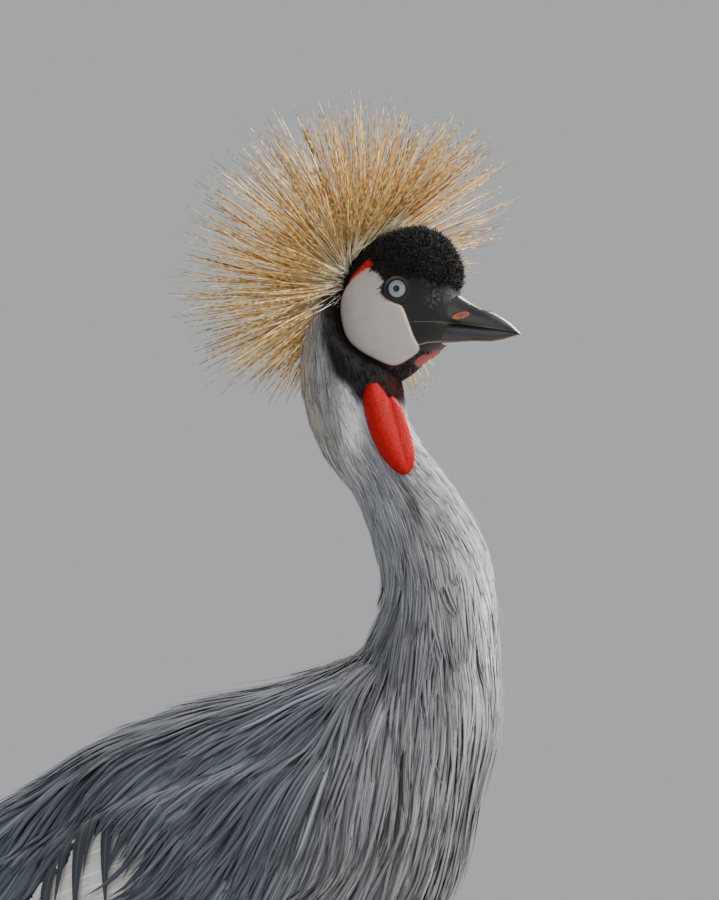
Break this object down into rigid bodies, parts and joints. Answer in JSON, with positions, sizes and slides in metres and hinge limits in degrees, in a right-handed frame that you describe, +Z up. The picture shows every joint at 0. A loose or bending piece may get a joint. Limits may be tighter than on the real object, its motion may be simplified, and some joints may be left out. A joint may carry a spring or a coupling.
{
  "type": "grey crowned crane",
  "caption": "Standing wading bird with a fan-shaped crest of stiff golden feathers, black velvet cap, white cheeks, red throat wattle, grey neck and folded white wings.",
  "frame": {"origin": "on the floor, under the middle of the whole bird's box", "axes": "+X the way the body faces, +Y the bird's left, +Z up"},
  "size_m": [0.63, 0.2586, 1.0949],
  "materials": {
    "face": "short black bristly feathering",
    "velvet": "dense black velvety feathering",
    "cheek": "bare white skin, matt",
    "red_skin": "bare scarlet skin, satin",
    "eye": "pale blue iris with black pupil, wet gloss",
    "bill": "slate black horn, satin",
    "crest": "stiff twisted straw-gold feathers with dark tips",
    "neck_plumage": "long soft pale grey feathers",
    "body_plumage": "slate grey lance-shaped feathers",
    "wing_plumage": "white coverts, straw plumes, chestnut and black quills",
    "tail_plumage": "black tail feathers",
    "leg_skin": "black scaled skin",
    "claw": "dark horn"
  },
  "bodies": {
    "root": {"head": "face", "cap": "velvet", "cheek_right": "cheek", "cheek_left": "cheek", "red_patch_right": "red_skin", "red_patch_left": "red_skin", "eye_right": "eye", "eye_left": "eye", "bill_upper": "bill", "bill_lower": "bill", "wattle": "red_skin", "crest": "crest", "neck": "neck_plumage", "torso": "body_plumage", "wing_right": "wing_plumage", "wing_left": "wing_plumage", "tail": "tail_plumage", "thigh_right": "body_plumage", "thigh_left": "body_plumage", "leg_right": "leg_skin", "leg_left": "leg_skin", "foot_right": "leg_skin", "foot_left": "leg_skin", "claw_middle_right": "claw", "claw_inner_right": "claw", "claw_outer_right": "claw", "claw_back_right": "claw", "claw_middle_left": "claw", "claw_inner_left": "claw", "claw_outer_left": "claw", "claw_back_left": "claw"}
  },
  "joints": []
}
